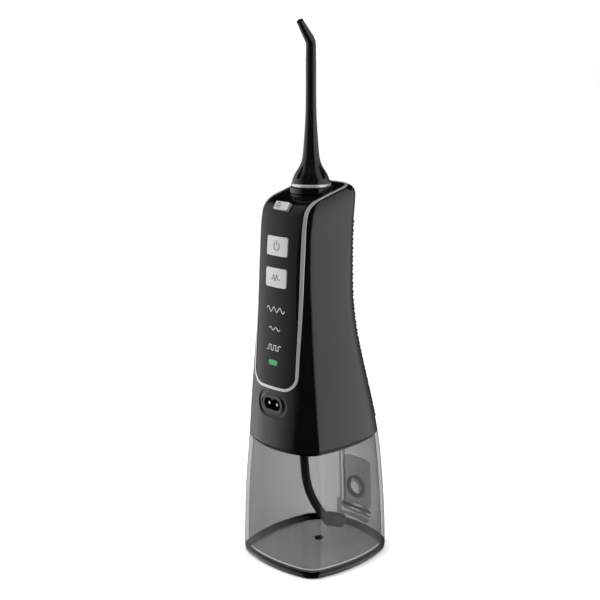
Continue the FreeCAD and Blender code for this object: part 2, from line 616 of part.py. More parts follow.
def make_gears():
    # A tooth of the gear points at the pinion, and a gap of the pinion faces it.
    gear = gear_solid(GEAR_TEETH, GEAR_BOTTOM, GEAR_TOP, GEAR_Y, math.pi / 2, 1.5 + RUN)
    crank_pin = cylinder(CRANK_PIN_R, (CRANK_R, GEAR_Y, ROD_TOP + 0.2), (CRANK_R, GEAR_Y, GEAR_BOTTOM))
    gear = gear.fuse(crank_pin)
    save("drive_gear", gear)
    half_step = math.pi / PINION_TEETH
    phase = -math.pi / 2 + half_step
    pinion = gear_solid(PINION_TEETH, GEAR_BOTTOM - 0.3, GEAR_TOP + 0.3, MOTOR_Y, phase, 1.0)
    save("pinion_gear", pinion)
    axle = cylinder(1.5, (0, GEAR_Y, GEAR_BOTTOM - 0.6), (0, GEAR_Y, PLATE_TOP))
    collar = cylinder(2.2, (0, GEAR_Y, GEAR_BOTTOM - 1.2), (0, GEAR_Y, GEAR_BOTTOM - 0.2))
    save("gear_axle", axle.fuse(collar))
    plate = prism_z(14.0, PLATE_FRONT, PLATE_REAR, 4.0, PLATE_BOTTOM, PLATE_TOP)
    plate = plate.common(envelope(SHELL_WALL + 0.5))
    plate = plate.cut(cylinder(4.2, (0, MOTOR_Y, 84), (0, MOTOR_Y, 87)))
    plate = plate.cut(cylinder(1.5, (0, GEAR_Y, 84), (0, GEAR_Y, 87)))
    save("gear_plate", plate)


# ---------------------------------------------------------------- pump

def make_pump():
    body = cylinder(6.4, (0, PUMP_FRONT, PUMP_Z), (0, PUMP_REAR, PUMP_Z))
    foot = block(-7.5, 7.5, PUMP_FRONT + 1.0, PUMP_REAR, RIM_TOP + 0.2, PUMP_Z - 4.0)
    body = body.fuse(foot)
    body = body.cut(cylinder(PISTON_R + RUN, (0, 0, PUMP_Z), (0, PUMP_REAR - 1.2, PUMP_Z)))
    body = body.cut(cylinder(1.0, (0, 10, PUMP_Z), (0, 30, PUMP_Z)))
    save("pump_body", body)

    head = block(-5.4, 5.4, PUMP_REAR + 0.05, HEAD_REAR, HEAD_BOTTOM, HEAD_TOP)
    head = head.cut(cylinder(1.0, (0, 19, PUMP_Z), (0, 22.2, PUMP_Z)))
    head = head.cut(cylinder(2.2, (0, 22.2, 72.5), (0, 22.2, 77.2)))
    head = head.cut(cylinder(2.2, (0, 22.2, 79.6), (0, 22.2, 83.0)))
    head = head.cut(cylinder(0.9, (0, 22.2, 73.0), (0, 22.2, 85)))
    head = head.cut(cylinder(0.9, (-6, 22.2, 74.8), (0, 22.2, 74.8)))
    save("pump_head", head)
    for node, z in (("inlet_valve", 72.6), ("outlet_valve", 79.7)):
        save(node, cylinder(1.9, (0, 22.2, z), (0, 22.2, z + 0.8)))
    springs = []
    for z, wire_r, length, turns in ((74.7, 0.22, 2.2, 2.75), (81.75, 0.25, 0.9, 0.9)):
        springs.append(helix_spring(1.4, wire_r, length, turns, (0, 22.2, z), (0, 0, 1)))
    save("valve_springs", *springs)

    piston = cylinder(PISTON_R, (0, 8.2, PUMP_Z), (0, 15.2, PUMP_Z))
    piston = piston.cut(block(-3.2, 3.2, 0, 12.6, ROD_BOTTOM - 0.3, ROD_TOP + 0.3))
    piston = piston.cut(tube(6.0, PISTON_R - 0.6, (0, 13.4, PUMP_Z), (0, 14.4, PUMP_Z)))
    piston = piston.cut(cylinder(1.0, (0, WRIST_Y, 70), (0, WRIST_Y, 90)))
    save("piston", piston)
    seal = tube(PISTON_R, PISTON_R - 0.6, (0, 13.4, PUMP_Z), (0, 14.4, PUMP_Z))
    save("piston_seal", seal)
    save("wrist_pin", cylinder(1.0, (0, WRIST_Y, PUMP_Z - 2.3), (0, WRIST_Y, PUMP_Z + 2.3)))
    save("connecting_rod", rod_solid())


def rod_solid():
    small = cylinder(2.2, (0, WRIST_Y, ROD_BOTTOM), (0, WRIST_Y, ROD_TOP))
    big = cylinder(2.4, (CRANK_R, GEAR_Y, ROD_BOTTOM), (CRANK_R, GEAR_Y, ROD_TOP))
    angle = math.atan2(CRANK_R, WRIST_Y - GEAR_Y)
    beam = block(-1.2, 1.2, -ROD_LENGTH, 0, ROD_BOTTOM, ROD_TOP)
    beam.rotate(Vector(0, 0, 0), Vector(0, 0, 1), math.degrees(angle))
    beam.translate(Vector(0, WRIST_Y, 0))
    rod = small.fuse(big).fuse(beam)
    rod = rod.cut(cylinder(1.0 + RUN, (0, WRIST_Y, 70), (0, WRIST_Y, 90)))
    return rod.cut(cylinder(1.25, (CRANK_R, GEAR_Y, 70), (CRANK_R, GEAR_Y, 90)))


def make_water_tubes():
    barb_y = HOSE_PATH[0][0]
    path = [(0, barb_y, 71.2), (-2.0, barb_y + 1.0, 73.2), (-9.4, 2.0, 74.2), (-11.0, 11.0, 74.4),
            (-10.2, 19.0, 74.6), (-7.4, 22.0, 74.8), (-5.0, 22.2, 74.8)]
    save("suction_tube", swept(path, 1.9).cut(pump_space()))
    path = [(0, 22.2, 84.4), (0.2, 22.2, 86.0), (3.0, 21.4, 88.4), (10.0, 17.4, 91.0), (15.2, 9.0, 97.0),
            (16.2, 5.0, 106.0), (14.0, 5.0, 122.0), (12.7, 5.0, 150.0), (12.7, 4.6, 172.0),
            (11.6, 2.4, 182.0), (8.9, 0.3, 186.0), (7.6, 0.0, 186.2), (6.5, 0.0, 186.1)]
    save("pressure_tube", swept(path, 1.6))


def pump_space():
    barb_y = HOSE_PATH[0][0]
    head = block(-5.4, 5.4, PUMP_REAR, HEAD_REAR, HEAD_BOTTOM, HEAD_TOP)
    spout = cylinder(4.4, (0, barb_y, 60), (0, barb_y, BARB_FLANGE_TOP))
    return head.fuse(spout).fuse(cylinder(1.6, (0, barb_y, RIM_TOP), (0, barb_y, SPOUT_TOP)))


# ---------------------------------------------------------------- nozzle

def make_nozzle_seat():
    socket = cylinder(6.2, (0, 0, 184.2), (0, 0, 197.4))
    for side in (-1, 1):
        x0, x1 = sorted((side * 5.0, side * 7.4))
        socket = socket.fuse(block(x0, x1, -2.5, 2.5, 190.0, 197.4))
    socket = socket.cut(cylinder(SHANK_R + 0.12, (0, 0, 185.0), (0, 0, 198)))
    socket = socket.cut(tube(4.2, SHANK_R, (0, 0, 188.4), (0, 0, 189.6)))
    socket = socket.cut(block(-5.5, 5.5, -9, 9, 193.4, 195.4))
    save("nozzle_socket", socket.cut(cylinder(0.8, (0, 0, 186.1), (9, 0, 186.1))))
    seal = tube(4.2, SHANK_R + 0.12, (0, 0, 188.4), (0, 0, 189.6))
    save("socket_seal", seal)
    latch = prism_z(5.2, LATCH_FRONT, 5.2, 1.5, 193.7, 195.1)
    latch = latch.cut(prism_z(SHANK_R + 0.3, -4.6, SHANK_R + 0.08, 2.9, 190, 200))
    latch = latch.fuse(block(-3.0, 3.0, LATCH_FRONT, LATCH_FRONT + 1.4, 189.6, 194.0))
    save("nozzle_latch", latch)
    spring = helix_spring(1.5, 0.25, 4.4, 3.5, (0, LATCH_FRONT + 3.0, 191.2), (0, 1, 0))
    save("latch_spring", spring)


def make_dial():
    dial = cylinder(DIAL_R, (0, 0, NECK_TOP + 0.2), (0, 0, DIAL_TOP))
    dial = dial.makeFillet(0.5, [e for e in dial.Edges if e.Length > 20])
    dial = dial.fuse(cylinder(5.5, (0, 0, 197.8), (0, 0, NECK_TOP + 0.2)))
    dial = dial.cut(cylinder(SHANK_R + 0.1, (0, 0, 190), (0, 0, 210)))
    groove = tube(6.0, 4.7, (0, 0, 199.0), (0, 0, 200.0))
    save("nozzle_dial", dial.cut(groove))
    save("dial_seal", tube(5.55, 4.7, (0, 0, 199.0), (0, 0, 200.0)))


def flare_outline():
    """Half section of the nozzle from its flared root to the foot of the bend: radius, height."""
    return ((9.9, RING_TOP), (9.75, 207.4), (8.8, 210.4), (7.3, 212.9), (5.9, 215.2), (4.9, 217.8),
            (4.3, 221.0), (3.75, 227.0), (3.25, 234.0), (2.85, 242.0), (2.65, 256.0), (2.55, BEND_Z))


def make_nozzle():
    outline = flare_outline()
    curve = Part.BSplineCurve()
    curve.interpolate([Vector(r, 0, z) for r, z in outline])
    base, top = Vector(0, 0, RING_TOP), Vector(0, 0, BEND_Z)
    lines = [Part.makeLine(base, Vector(outline[0][0], 0, RING_TOP)), curve.toShape(),
             Part.makeLine(Vector(outline[-1][0], 0, BEND_Z), top), Part.makeLine(top, base)]
    stem = Part.Face(Part.Wire(lines)).revolve(Vector(0, 0, 0), Vector(0, 0, 1), 360)
    for k in range(FLARE_SCOOPS):
        a = 2 * math.pi * k / FLARE_SCOOPS
        out = Vector(math.cos(a), math.sin(a), 0)
        low, high = out * 9.2 + Vector(0, 0, 209.2), out * 5.9 + Vector(0, 0, 215.4)
        stem = stem.cut(Part.makeCone(1.4, 0.5, (high - low).Length, low, high - low))
    last_r = outline[-1][0]
    elbow = bend_piece(last_r)
    tip_start, direction = bend_end()
    tip = Part.makeCone(last_r, 1.75, TIP_LENGTH, tip_start, direction)
    shank = cylinder(SHANK_R, (0, 0, SHANK_BOTTOM), (0, 0, RING_TOP))
    seat = cylinder(8.6, (0, 0, DIAL_TOP + 0.2), (0, 0, RING_TOP))
    nozzle = stem.fuse([elbow, tip, shank, seat])
    groove = tube(4.0, SHANK_R - 0.5, (0, 0, 193.2), (0, 0, 195.6))
    seal_groove = tube(4.0, SHANK_R - 0.7, (0, 0, 190.6), (0, 0, 191.6))
    bore = cylinder(BORE_R, (0, 0, SHANK_BOTTOM - 1), (0, 0, BEND_Z))
    tip_bore = Part.makeCylinder(BORE_R, TIP_LENGTH + 1, tip_start, direction)
    bore = bore.fuse([bend_piece(BORE_R), tip_bore])
    save("nozzle_tip", nozzle.cut(bore).cut(groove).cut(seal_groove))
    save("nozzle_seal", tube(SHANK_R + 0.05, SHANK_R - 0.7, (0, 0, 190.6), (0, 0, 191.6)))
    colour = tube(RING_R, 8.6, (0, 0, DIAL_TOP + 0.2), (0, 0, RING_TOP))
    save("colour_ring", colour.makeFillet(0.4, [e for e in colour.Edges if e.Length > 60]))


def bend_end():
    a = math.radians(BEND_ANGLE)
    point = Vector(0, -BEND_R + BEND_R * math.cos(a), BEND_Z + BEND_R * math.sin(a))
    return point, Vector(0, -math.sin(a), math.cos(a))


def bend_piece(radius):
    """Elbow of the nozzle, turning forwards from upright."""
    disc = Part.Face(Part.Wire(Part.makeCircle(radius, Vector(0, 0, BEND_Z), Vector(0, 0, 1))))
    return disc.revolve(Vector(0, -BEND_R, BEND_Z), Vector(1, 0, 0), BEND_ANGLE)


# ---------------------------------------------------------------- hose

def make_hose():
    points = [(0, y, z) for y, z in HOSE_PATH]
    hose = swept(points, HOSE_R).cut(swept(points, HOSE_BORE))
    save("suction_hose", hose)
    start, end = Vector(0, *WEIGHT_START), Vector(0, *WEIGHT_END)
    length = (end - start).Length
    axis = (end - start).normalize()
    weight = Part.makeCylinder(WEIGHT_R, length, start, axis)
    weight = weight.makeFillet(1.2, [e for e in weight.Edges if e.Length > 20])
    room = Part.makeCylinder(3.0, 4.0, end - axis * 2.6, axis)
    weight = weight.cut(room).cut(swept(points, HOSE_R))
    passage = Vector(0, *HOSE_PATH[-1]) - axis
    weight = weight.cut(Part.makeCylinder(1.2, length, passage, axis))
    save("suction_weight", weight)
    save("hose_filter", Part.makeCylinder(2.95, 0.9, end - axis * 2.0, axis))


make_tank()
make_foot()
make_door()
panel_window = make_panel()
make_housing(panel_window)
make_grip()
make_base()
make_button("power_button", POWER_Z)
make_button("mode_button", MODE_Z)
make_charging_port()
make_lens()
make_release()
make_board()
make_battery()
make_motor()
make_gears()
make_pump()
make_water_tubes()
make_nozzle_seat()
make_dial()
make_nozzle()
make_hose()
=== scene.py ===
import json
import math

import bmesh
import bpy
from mathutils import Matrix, Vector
from mathutils.bvhtree import BVHTree


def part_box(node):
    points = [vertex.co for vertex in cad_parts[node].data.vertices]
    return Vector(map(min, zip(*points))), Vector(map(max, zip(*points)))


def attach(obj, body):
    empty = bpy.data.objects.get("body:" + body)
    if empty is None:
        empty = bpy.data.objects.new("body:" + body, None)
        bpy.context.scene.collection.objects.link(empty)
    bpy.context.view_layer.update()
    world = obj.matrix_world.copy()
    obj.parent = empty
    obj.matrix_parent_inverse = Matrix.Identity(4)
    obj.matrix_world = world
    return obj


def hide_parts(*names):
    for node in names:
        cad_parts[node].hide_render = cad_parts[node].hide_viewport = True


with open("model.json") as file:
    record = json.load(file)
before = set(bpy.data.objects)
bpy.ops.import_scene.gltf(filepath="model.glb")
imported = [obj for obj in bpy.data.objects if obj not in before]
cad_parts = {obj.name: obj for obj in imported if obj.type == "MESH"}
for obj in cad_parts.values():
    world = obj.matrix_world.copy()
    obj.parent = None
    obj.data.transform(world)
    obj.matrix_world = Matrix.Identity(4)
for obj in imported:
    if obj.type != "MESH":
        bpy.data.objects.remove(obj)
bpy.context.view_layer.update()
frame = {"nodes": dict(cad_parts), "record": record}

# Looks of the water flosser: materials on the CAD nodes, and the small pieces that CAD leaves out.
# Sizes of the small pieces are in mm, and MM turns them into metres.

MM = 0.001
RIGHT, UP, BACK = Vector((1, 0, 0)), Vector((0, 0, 1)), Vector((0, 1, 0))
NODES = frame["nodes"]


def middle(node):
    """Centre of a CAD node's box."""
    low, high = (Vector(corner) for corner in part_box(node))
    return (low + high) / 2


NOZZLE_Y = middle("colour_ring").y

# The tank's floor is this far above the top of its plug.
PLUG_SINK = 0.9 * MM
FLOOR_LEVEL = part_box("floor_plug")[1][2] + PLUG_SINK


# ---------------------------------------------------------------- shader node helpers

SOFT_SAMPLES = 4


def start_material(name):
    material = bpy.data.materials.new(name)
    material.use_nodes = True
    material.node_tree.nodes.clear()
    return material, material.node_tree


def add(tree, kind, inputs=(), **settings):
    """Adds a shader node, sets its properties, and fills inputs with values or links."""
    node = tree.nodes.new(kind)
    for key, value in settings.items():
        setattr(node, key, value)
    for key, value in dict(inputs).items():
        if isinstance(value, bpy.types.NodeSocket):
            tree.links.new(value, node.inputs[key])
        else:
            node.inputs[key].default_value = value
    return node


def calc(tree, operation, *values, **settings):
    """Result of a maths node on values or links."""
    inputs = dict(enumerate(values))
    return add(tree, "ShaderNodeMath", inputs, operation=operation, **settings).outputs[0]


def remap(tree, value, low, high, start=0.0, end=1.0):
    """Turns the range from start to end into the range from low to high."""
    return add(tree, "ShaderNodeMapRange", {"Value": value, "From Min": start, "From Max": end,
                                            "To Min": low, "To Max": high}).outputs["Result"]


def mix(tree, factor, a, b, **settings):
    """Mix of two colours."""
    return add(tree, "ShaderNodeMix", {"Factor": factor, "A": a, "B": b}, data_type="RGBA",
               **settings).outputs["Result"]


def noise(tree, scale, detail):
    coord = add(tree, "ShaderNodeTexCoord")
    return add(tree, "ShaderNodeTexNoise", {"Vector": coord.outputs["Object"], "Scale": scale,
                                            "Detail": detail}).outputs["Fac"]


def soft_normal(tree, radius):
    """Normal that turns smoothly round edges, as if they had a small radius."""
    return add(tree, "ShaderNodeBevel", {"Radius": radius}, samples=SOFT_SAMPLES).outputs["Normal"]


def output(tree, surface):
    end = add(tree, "ShaderNodeOutputMaterial")
    tree.links.new(surface, end.inputs["Surface"])


def grey(value):
    return (value, value, value)


# ---------------------------------------------------------------- studio seen in mirrors

WORLD_STRENGTH = 4.0

# Azimuth in degrees from the front, turning to the right, and brightness.
AROUND = ((-180, 0.3), (-155, 0.0), (-120, 0.1), (-95, 0.9), (-75, 1.55), (-60, 1.4), (-44, 1.3),
          (-30, 0.9), (-14, 0.4), (-4, 0.0), (84, 0.0), (96, 1.5), (150, 1.5), (172, 0.6), (180, 0.3))

# Height in degrees and brightness, beside the softboxes and at them, and where the softboxes are.
BESIDE_BOXES = ((-90, 0.5), (-20, 1.0), (0, 0.85), (16, 0.65), (24, 0.06), (34, 0.0))
AT_BOXES = ((-90, 0.5), (-20, 1.0), (0, 0.85), (20, 0.7), (45, 0.6), (62, 0.4), (76, 0.0))
BOXES = ((-100, 0.0), (-80, 1.0), (-25, 1.0), (-15, 0.0), (92, 0.0), (98, 1.0), (140, 1.0), (155, 0.0))


def ramp(tree, value, stops, place, unit=1.0):
    """Grey colour ramp with stops given as (angle, brightness in the unit)."""
    node = add(tree, "ShaderNodeValToRGB", {0: value})
    elements = node.color_ramp.elements
    while len(elements) < len(stops):
        elements.new(0.5)
    for element, (angle, brightness) in zip(elements, stops):
        element.position = place(angle)
        element.color = (*grey(brightness / unit), 1.0)
    return node.outputs[0]


def around_place(angle):
    return (angle + 180) / 360


def height_place(angle):
    return (math.sin(math.radians(angle)) + 1) / 2


def studio(tree, direction):
    """Brightness seen along a direction: tall softboxes at the left front and the right rear."""
    parts = add(tree, "ShaderNodeSeparateXYZ", {0: direction})
    frontward = calc(tree, "MULTIPLY", parts.outputs["Y"], -1.0)
    azimuth = calc(tree, "ARCTAN2", parts.outputs["X"], frontward)
    turn = remap(tree, azimuth, 0.0, 1.0, -math.pi, math.pi)
    height = remap(tree, parts.outputs["Z"], 0.0, 1.0, -1.0, 1.0)
    around = ramp(tree, turn, AROUND, around_place, WORLD_STRENGTH)
    low = ramp(tree, height, BESIDE_BOXES, height_place)
    tall = ramp(tree, height, AT_BOXES, height_place)
    at_box = ramp(tree, turn, BOXES, around_place)
    return mix(tree, 1.0, around, mix(tree, at_box, low, tall), blend_type="MULTIPLY")


# ---------------------------------------------------------------- solid finishes

EDGE_RADIUS = 0.25 * MM
TONE_SCALE, TONE_DETAIL = 60.0, 4.0
GRAIN_DETAIL, GRAIN_STRENGTH = 2.0, 0.35

# Dark tone, light tone, roughness from and to, grain per metre, grain depth in mm,
# and, where they aren't 0 and 1.5, metal and index of refraction.
FINISHES = {
    "gloss_black": (grey(0.0015), grey(0.003), (0.03, 0.07), 900, 0.0008, 0.0, 1.52),
    "panel_black": (grey(0.0015), grey(0.003), (0.03, 0.07), 900, 0.0008, 0.0, 1.34),
    "socket_black": (grey(0.0015), grey(0.003), (0.7, 0.85), 3000, 0.004, 0.0, 1.2),
    "nozzle_black": (grey(0.002), grey(0.004), (0.10, 0.16), 900, 0.001),
    "black_rubber": (grey(0.004), grey(0.008), (0.45, 0.6), 3500, 0.01),
    "black_plastic": (grey(0.005), grey(0.009), (0.3, 0.42), 4000, 0.006),
    "weight_grey": (grey(0.012), grey(0.02), (0.3, 0.4), 3000, 0.006),
    "chip_black": (grey(0.02), grey(0.03), (0.4, 0.5), 3000, 0.004),
    "grey_rubber": (grey(0.06), grey(0.09), (0.4, 0.55), 3000, 0.008),
    "mark_dark": (grey(0.07), grey(0.11), (0.4, 0.5), 3000, 0.002),
    "mark_pale": (grey(0.30), grey(0.40), (0.4, 0.5), 3000, 0.002),
    "clear_tube": (grey(0.6), grey(0.68), (0.25, 0.35), 1500, 0.003),
    "led_white": (grey(0.75), grey(0.82), (0.2, 0.3), 2000, 0.002),
    "pin_metal": (grey(0.35), grey(0.42), (0.12, 0.2), 3000, 0.001, 1.0),
    "motor_steel": (grey(0.42), grey(0.5), (0.28, 0.4), 3000, 0.003, 1.0),
    "silver": (grey(0.46), grey(0.52), (0.26, 0.34), 5000, 0.004, 0.7),
    "pale_ring": (grey(0.50), grey(0.58), (0.22, 0.3), 2500, 0.003, 0.6),
    "steel": (grey(0.55), grey(0.65), (0.2, 0.3), 4000, 0.002, 1.0),
    "brass_gear": ((0.7, 0.52, 0.22), (0.78, 0.6, 0.3), (0.22, 0.3), 3000, 0.002, 1.0),
    "inner_plastic": ((0.62, 0.61, 0.57), (0.7, 0.69, 0.66), (0.4, 0.5), 3000, 0.006),
    "board_green": ((0.01, 0.12, 0.05), (0.02, 0.17, 0.08), (0.3, 0.4), 1500, 0.004),
    "green_lens": ((0.02, 0.17, 0.055), (0.04, 0.24, 0.08), (0.12, 0.2), 900, 0.001),
    "cell_wrap": ((0.03, 0.12, 0.35), (0.05, 0.17, 0.42), (0.25, 0.35), 1200, 0.004),
    "wire_red": ((0.4, 0.01, 0.01), (0.5, 0.03, 0.02), (0.4, 0.5), 1500, 0.003),
}
PAPER = (grey(0.93), grey(0.95), (0.8, 0.9), 300, 0.02)


def moulded(name, dark, light, rough, grain, depth, metal=0.0, ior=1.5):
    """Plastic, paint, rubber or metal: tone and roughness vary, with a fine grain."""
    material, tree = start_material(name)
    broad = noise(tree, TONE_SCALE, TONE_DETAIL)
    fine = noise(tree, grain, GRAIN_DETAIL)
    normal = add(tree, "ShaderNodeBump", {"Height": fine, "Strength": GRAIN_STRENGTH,
                                          "Distance": depth * MM,
                                          "Normal": soft_normal(tree, EDGE_RADIUS)})
    shader = add(tree, "ShaderNodeBsdfPrincipled", {
        "Base Color": mix(tree, broad, (*dark, 1.0), (*light, 1.0)),
        "Roughness": remap(tree, broad, *rough), "Normal": normal.outputs["Normal"],
        "Metallic": metal, "IOR": ior})
    output(tree, shader.outputs["BSDF"])
    return material


# ---------------------------------------------------------------- smoke-clear tank

# Light let through a wall seen straight on, and that ray's path as a share of a glancing ray's.
SMOKE_CLARITY, STRAIGHT_PATH = 0.74, 0.42

# Walls seen below this cosine darken to a thin outline.
RIM_COSINE, RIM_CLARITY = 0.2, 0.3

# Share of the studio painted on as a glowing reflection straight on, at a glancing angle, and behind the
# first wall.
MIRROR_STRAIGHT, MIRROR_GLANCING, MIRROR_BEHIND, MIRROR_POWER = 0.026, 0.5, 0.4, 5.0
TANK_EDGE_RADIUS = 0.4 * MM

# Where the darker band round the thick floor ends, and the light that it lets through. The band is partly
# the thick floor's own tint seen edge-on and partly painted shade of the stage floor under the tank,
# which the tank leaves lit.
SLAB_TOP, SLAB_FADE, SLAB_CLARITY = FLOOR_LEVEL + 0.5 * MM, 0.2 * MM, 0.12
UPRIGHT_LIMIT = 0.5


def mirrored(tree):
    """Direction seen by reflection, with edges softened by a small radius."""
    incoming = add(tree, "ShaderNodeNewGeometry").outputs["Incoming"]
    ray = add(tree, "ShaderNodeVectorMath", {0: incoming, 1: (-1, -1, -1)}, operation="MULTIPLY")
    return add(tree, "ShaderNodeVectorMath", {0: ray.outputs[0], 1: soft_normal(tree, TANK_EDGE_RADIUS)},
               operation="REFLECT").outputs[0]


def slab_edge_shade(tree, is_first):
    """Share of light let through: low on the tank's outside at the height of its thick floor, partly the
    floor's own tint and partly painted shade of the stage floor below the tank.
    """
    coord = add(tree, "ShaderNodeTexCoord")
    place = add(tree, "ShaderNodeSeparateXYZ", {0: coord.outputs["Object"]})
    normal = add(tree, "ShaderNodeSeparateXYZ", {0: coord.outputs["Normal"]})
    level = calc(tree, "ABSOLUTE", normal.outputs["Z"])
    upright = calc(tree, "LESS_THAN", level, UPRIGHT_LIMIT)
    low = remap(tree, place.outputs["Z"], 1.0, 0.0, SLAB_TOP, SLAB_TOP + SLAB_FADE)
    loss = calc(tree, "MULTIPLY", calc(tree, "MULTIPLY", upright, low), is_first)
    return remap(tree, loss, 1.0, SLAB_CLARITY)


def smoke_clear(name):
    """Thin tinted wall: more tint at a glancing angle, with a painted reflection of the studio glowing on
    top.

    It lets all light through to the things behind it, and tints only what is seen through it.
    """
    material, tree = start_material(name)
    rays = add(tree, "ShaderNodeLightPath")
    is_first = calc(tree, "LESS_THAN", rays.outputs["Transparent Depth"], 0.5)
    facing = add(tree, "ShaderNodeLayerWeight", {"Blend": 0.5}).outputs["Facing"]
    cosine = calc(tree, "SUBTRACT", 1.0, facing, use_clamp=True)

    share = remap(tree, calc(tree, "MULTIPLY", cosine, cosine), STRAIGHT_PATH, 1.0)
    tinted = calc(tree, "POWER", SMOKE_CLARITY, calc(tree, "DIVIDE", 1.0, share))
    rim = remap(tree, cosine, RIM_CLARITY, 1.0, 0.0, RIM_COSINE)
    through = calc(tree, "MULTIPLY", calc(tree, "MULTIPLY", tinted, rim), slab_edge_shade(tree, is_first))
    clear = add(tree, "ShaderNodeBsdfTransparent", {"Color": through})

    # Painted reflection: the studio's brightness along the mirrored direction glows as emission, stronger
    # at a glancing angle and dimmer behind the first wall.
    mirror = remap(tree, calc(tree, "POWER", facing, MIRROR_POWER), MIRROR_STRAIGHT, MIRROR_GLANCING)
    power = remap(tree, is_first, WORLD_STRENGTH * MIRROR_BEHIND, WORLD_STRENGTH)
    painted_reflection = add(tree, "ShaderNodeEmission", {"Color": studio(tree, mirrored(tree)),
                                             "Strength": calc(tree, "MULTIPLY", mirror, power)})
    wall = add(tree, "ShaderNodeAddShader", {0: clear.outputs[0], 1: painted_reflection.outputs[0]})

    open_way = add(tree, "ShaderNodeBsdfTransparent", {"Color": (1, 1, 1, 1)})
    is_lighting = calc(tree, "MAXIMUM", rays.outputs["Is Shadow Ray"], rays.outputs["Is Diffuse Ray"])
    mixed = add(tree, "ShaderNodeMixShader", {0: is_lighting, 1: wall.outputs[0],
                                              2: open_way.outputs[0]})
    output(tree, mixed.outputs[0])
    return material


# ---------------------------------------------------------------- looks of the CAD nodes

MATERIALS = {"smoke_clear": smoke_clear("smoke_clear")}
MATERIALS.update({name: moulded(name, *finish) for name, finish in FINISHES.items()})

SLOT_OF = {part["node"]: part["material_slot"] for part in frame["record"]["subparts"]}
OWN_LOOK = {"front_panel": "panel_black", "suction_weight": "weight_grey",
            "base_plate": "socket_black", "tank_seal": "socket_black", "foot_ring": "gloss_black"}


def dress_cad_nodes():
    for name, node in NODES.items():
        node.data.materials.clear()
        node.data.materials.append(MATERIALS[OWN_LOOK.get(name, SLOT_OF[name])])
        for face in node.data.polygons:
            face.material_index = 0


# ---------------------------------------------------------------- mesh helpers

SHARP_ANGLE = math.radians(40)
RAY_REACH = 30 * MM


def add_piece(name, body, material, vertices, faces):
    """Makes a mesh of the vertices and faces that moves with a body."""
    mesh = bpy.data.meshes.new(name)
    mesh.from_pydata(vertices, [], faces)
    work = bmesh.new()
    work.from_mesh(mesh)
    bmesh.ops.recalc_face_normals(work, faces=work.faces)
    work.to_mesh(mesh)
    work.free()
    for face in mesh.polygons:
        face.use_smooth = True
    mesh.set_sharp_from_angle(angle=SHARP_ANGLE)
    piece = bpy.data.objects.new(name, mesh)
    bpy.context.scene.collection.objects.link(piece)
    mesh.materials.append(MATERIALS[material])
    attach(piece, body)
    return piece


def bridge(faces, first, second, count):
    """Joins two rings of count vertices, each given by the number of its first vertex."""
    for k in range(count):
        after = (k + 1) % count
        faces.append((first + k, first + after, second + after, second + k))


def circle(sides):
    """Cosine and sine at each corner of a round shape."""
    angles = [2 * math.pi * k / sides for k in range(sides)]
    return [(math.cos(a), math.sin(a)) for a in angles]


def oval(half_width, half_height, steps=14):
    """Outline of a slot with round ends, anticlockwise seen from the front."""
    straight, points = half_width - half_height, []
    for side, start in ((1, -90), (-1, 90)):
        for k in range(steps + 1):
            a = math.radians(start + 180 * k / steps)
            points.append((side * straight + half_height * math.cos(a), half_height * math.sin(a)))
    return points


def node_tree(*nodes):
    """Ray-casting tree of CAD nodes at rest."""
    vertices, faces = [], []
    for node in nodes:
        mesh, first = NODES[node].data, len(vertices)
        vertices += [v.co.copy() for v in mesh.vertices]
        faces += [[first + i for i in p.vertices] for p in mesh.polygons]
    return BVHTree.FromPolygons(vertices, faces)


class Surface:
    """Faces of CAD nodes that pieces are laid on, with their own right and up directions."""

    def __init__(self, nodes, centre, up, inward):
        self.tree = node_tree(*nodes)
        self.centre, self.up, self.inward = centre, up, inward

    def hit(self, a, b):
        """Point a right and b up of the centre, and its outward normal, or two Nones."""
        start = self.centre + RIGHT * a + self.up * b - self.inward * RAY_REACH
        point, normal, _, _ = self.tree.ray_cast(start, self.inward, 2 * RAY_REACH)
        if point is not None and normal.dot(self.inward) > 0:
            normal.negate()
        return point, normal

    def point(self, a, b, lift=0.0):
        """Point on the surface, a right and b up of the centre, raised by lift."""
        point, normal = self.hit(a, b)
        return None if point is None else point + normal * lift


def front_surface(node, z):
    """Front of a CAD node, measured from its middle at height z."""
    return Surface([node], Vector((0.0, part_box(node)[0][1], z)), UP, BACK)


# ---------------------------------------------------------------- printed marks

MARK_STEP, MARK_TOP, MARK_BOTTOM = 0.35, 0.035, -0.05
MARK_WIDTH, ARROW_WIDTH = 0.55, 0.42
ARROW_SHIFT = Vector((-2.2 * MM, 0, 0))

# The release button's face leans back this many degrees from upright.
RELEASE_TILT = 33.0


def arc(radius, start, end):
    """Points of an arc, angles in degrees anticlockwise from the right."""
    count = max(3, int(abs(end - start) / 8))
    angles = [math.radians(start + (end - start) * k / count) for k in range(count + 1)]
    return [(radius * math.cos(a), radius * math.sin(a)) for a in angles]


def wave(length, height, periods):
    count = 16 * periods
    return [(length * (k / count - 0.5), height / 2 * math.sin(2 * math.pi * periods * k / count))
            for k in range(count + 1)]


def square_wave(length, height, periods):
    step, points = length / (2 * periods), []
    for k in range(2 * periods):
        x, level = -length / 2 + k * step, height / 2 * (1 if k % 2 else -1)
        points += [(x, level), (x + step, level)]
    return points


